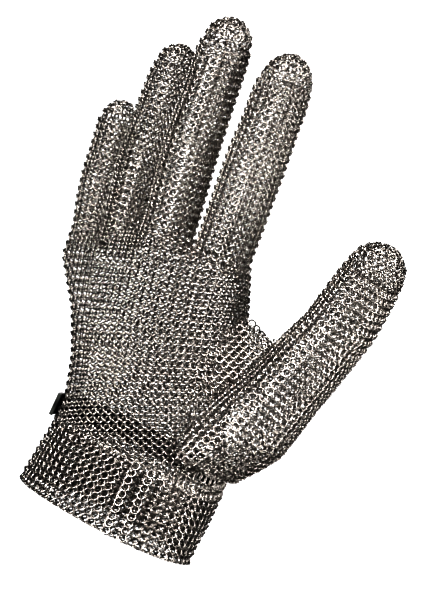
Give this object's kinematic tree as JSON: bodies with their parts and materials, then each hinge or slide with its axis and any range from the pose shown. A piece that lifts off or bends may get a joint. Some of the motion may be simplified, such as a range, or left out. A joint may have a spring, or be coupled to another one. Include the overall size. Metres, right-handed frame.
{
  "type": "cut resistant glove",
  "caption": "Right-hand cut resistant glove of stainless steel ring mesh, with a folded cuff and a wrist strap closed by a press stud.",
  "frame": {"origin": "middle of the wrist opening, in the plane of the cuff edge", "axes": "+Z from the cuff towards the fingertips, palm facing -Y, thumb on the +X side"},
  "size_m": [0.1752, 0.0646, 0.2122],
  "materials": {
    "mesh": "bright welded stainless steel rings",
    "strap": "woven black webbing",
    "stud": "polished pressed steel"
  },
  "bodies": {
    "glove": {"cuff_outer": "mesh", "cuff_lining": "mesh", "cuff_hem": "mesh", "palm_panel": "mesh", "back_panel": "mesh", "thumb_gusset": "mesh", "thumb_web": "mesh", "thumb_root_band": "mesh", "index_root_band": "mesh", "middle_root_band": "mesh", "ring_root_band": "mesh", "little_root_band": "mesh", "strap_back": "strap", "strap_little_end": "strap", "strap_thumb_end": "strap", "strap_fold": "strap", "strap_keeper": "stud", "stud_base": "stud"},
    "index_lower": {"index_lower": "mesh", "index_knuckle_band": "mesh"},
    "index_middle": {"index_middle": "mesh", "index_end_band": "mesh"},
    "index_tip": {"index_tip": "mesh"},
    "middle_lower": {"middle_lower": "mesh", "middle_knuckle_band": "mesh"},
    "middle_middle": {"middle_middle": "mesh", "middle_end_band": "mesh"},
    "middle_tip": {"middle_tip": "mesh"},
    "ring_lower": {"ring_lower": "mesh", "ring_knuckle_band": "mesh"},
    "ring_middle": {"ring_middle": "mesh", "ring_end_band": "mesh"},
    "ring_tip": {"ring_tip": "mesh"},
    "little_lower": {"little_lower": "mesh", "little_knuckle_band": "mesh"},
    "little_middle": {"little_middle": "mesh", "little_end_band": "mesh"},
    "little_tip": {"little_tip": "mesh"},
    "thumb_lower": {"thumb_lower": "mesh", "thumb_knuckle_band": "mesh"},
    "thumb_middle": {"thumb_middle": "mesh", "thumb_end_band": "mesh"},
    "thumb_tip": {"thumb_tip": "mesh"},
    "strap_tab": {"strap_tab": "strap", "stud_cap": "stud"}
  },
  "joints": [
    {"name": "index_root_bend", "type": "hinge", "parent": "glove", "child": "index_lower", "pos_m": [-0.0017, 0, 0.118], "axis": [0.9962, 0, 0.0872], "range_deg": [-5, 70], "deforming": ["index_root_band"]},
    {"name": "index_knuckle_bend", "type": "hinge", "parent": "index_lower", "child": "index_middle", "pos_m": [-0.00518, -0.0014, 0.15782], "axis": [0.9997, 0, 0.0262], "range_deg": [-5, 72], "deforming": ["index_knuckle_band"]},
    {"name": "index_end_bend", "type": "hinge", "parent": "index_middle", "child": "index_tip", "pos_m": [-0.00586, -0.00411, 0.18367], "axis": [1, 0, -0.0087], "range_deg": [0, 45], "deforming": ["index_end_band"]},
    {"name": "middle_root_bend", "type": "hinge", "parent": "glove", "child": "middle_lower", "pos_m": [-0.0283, -0.0025, 0.117], "axis": [0.989, 0, 0.1478], "range_deg": [-5, 70], "deforming": ["middle_root_band"]},
    {"name": "middle_knuckle_bend", "type": "hinge", "parent": "middle_lower", "child": "middle_middle", "pos_m": [-0.03426, -0.00603, 0.1569], "axis": [0.9994, 0, 0.0349], "range_deg": [-5, 72], "deforming": ["middle_knuckle_band"]},
    {"name": "middle_end_bend", "type": "hinge", "parent": "middle_middle", "child": "middle_tip", "pos_m": [-0.03527, -0.01007, 0.1856], "axis": [0.9997, 0, -0.0262], "range_deg": [0, 45], "deforming": ["middle_end_band"]},
    {"name": "ring_root_bend", "type": "hinge", "parent": "glove", "child": "ring_lower", "pos_m": [-0.0501, 0.0005, 0.1065], "axis": [0.9781, 0, 0.2079], "range_deg": [0, 70], "deforming": ["ring_root_band"]},
    {"name": "ring_knuckle_bend", "type": "hinge", "parent": "ring_lower", "child": "ring_middle", "pos_m": [-0.05779, 0.00179, 0.14267], "axis": [0.9986, 0, 0.0523], "range_deg": [0, 72], "deforming": ["ring_knuckle_band"]},
    {"name": "ring_end_bend", "type": "hinge", "parent": "ring_middle", "child": "ring_tip", "pos_m": [-0.05915, 0.00134, 0.16863], "axis": [0.9986, 0, 0.0523], "range_deg": [0, 45], "deforming": ["ring_end_band"]},
    {"name": "little_root_bend", "type": "hinge", "parent": "glove", "child": "little_lower", "pos_m": [-0.0691, 0.0105, 0.099], "axis": [0.9563, 0, 0.2924], "range_deg": [0, 70], "deforming": ["little_root_band"]},
    {"name": "little_knuckle_bend", "type": "hinge", "parent": "little_lower", "child": "little_middle", "pos_m": [-0.07712, 0.01242, 0.12523], "axis": [0.9848, 0, 0.1736], "range_deg": [0, 72], "deforming": ["little_knuckle_band"]},
    {"name": "little_end_bend", "type": "hinge", "parent": "little_middle", "child": "little_tip", "pos_m": [-0.08025, 0.01242, 0.14296], "axis": [0.9877, 0, 0.1564], "range_deg": [0, 45], "deforming": ["little_end_band"]},
    {"name": "thumb_root_bend", "type": "hinge", "parent": "glove", "child": "thumb_lower", "pos_m": [0.0475, -0.0095, 0.064], "axis": [0.7749, -0.5135, -0.3686], "range_deg": [-10, 20], "deforming": ["thumb_root_band", "thumb_web"]},
    {"name": "thumb_knuckle_bend", "type": "hinge", "parent": "thumb_lower", "child": "thumb_middle", "pos_m": [0.0585, -0.013, 0.092], "axis": [0.7813, -0.5178, -0.3485], "range_deg": [-5, 35], "deforming": ["thumb_knuckle_band"]},
    {"name": "thumb_end_bend", "type": "hinge", "parent": "thumb_middle", "child": "thumb_tip", "pos_m": [0.069, -0.016, 0.12], "axis": [0.8234, -0.5456, -0.1562], "range_deg": [-5, 45], "deforming": ["thumb_end_band"]},
    {"name": "strap_open", "type": "hinge", "parent": "glove", "child": "strap_tab", "pos_m": [0.0085, 0.0322, 0.0347], "axis": [0, 0, -1], "range_deg": [0, 110]}
  ]
}
